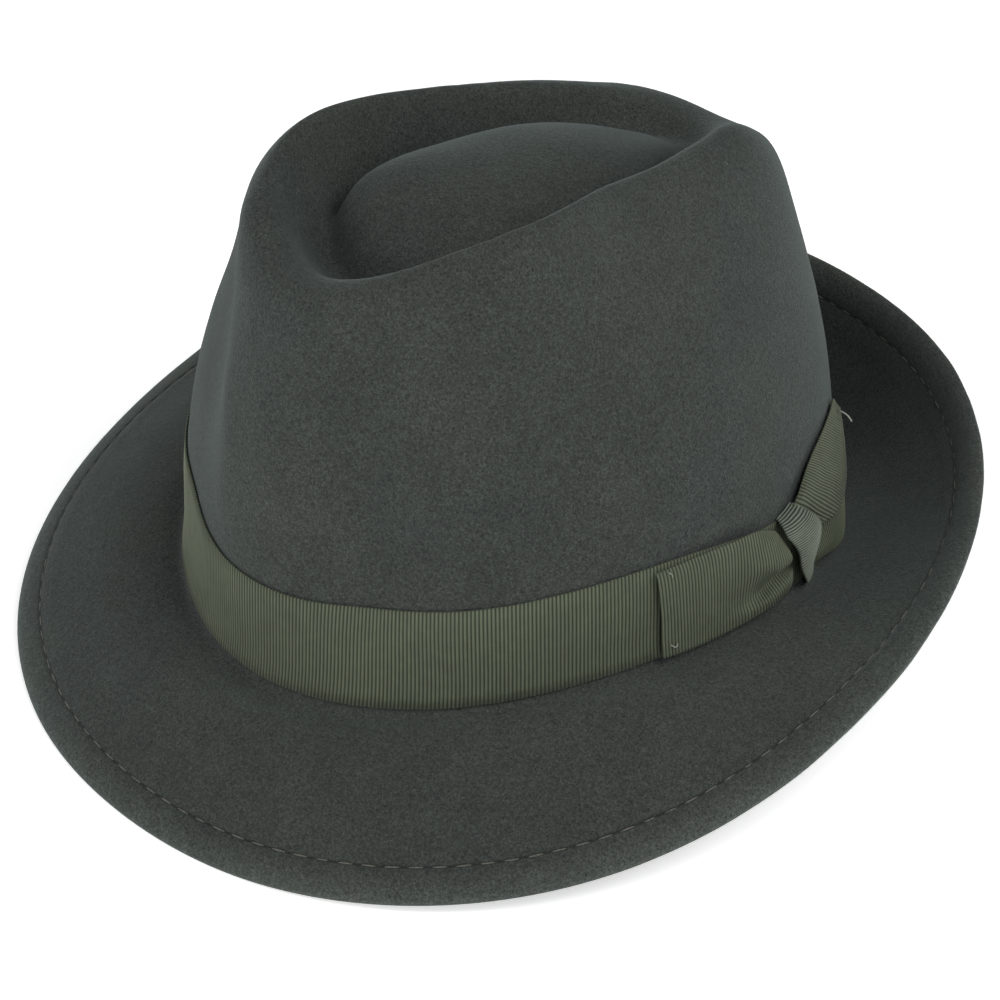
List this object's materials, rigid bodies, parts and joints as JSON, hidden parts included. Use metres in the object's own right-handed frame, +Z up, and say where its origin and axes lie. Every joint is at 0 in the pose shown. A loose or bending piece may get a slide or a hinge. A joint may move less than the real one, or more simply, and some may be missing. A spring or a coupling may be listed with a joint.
{
  "type": "trilby hat",
  "caption": "Soft wool felt trilby with a dented teardrop crown, a ribbon with a side bow, and a short brim turned down in front and up behind.",
  "frame": {"origin": "centre of the felt's outline in plan, on the surface it rests on", "axes": "front of the hat toward -Y, wearer's left toward +X, crown up along +Z"},
  "size_m": [0.2668, 0.2874, 0.1482],
  "materials": {
    "felt": "soft brushed wool felt, dark grey-green",
    "ribbon": "ribbed grosgrain ribbon, olive green"
  },
  "bodies": {
    "root": {"felt_body": "felt", "hat_band": "ribbon", "bow_front_panel": "ribbon", "bow_rear_panel": "ribbon", "bow_knot": "ribbon"}
  },
  "joints": []
}
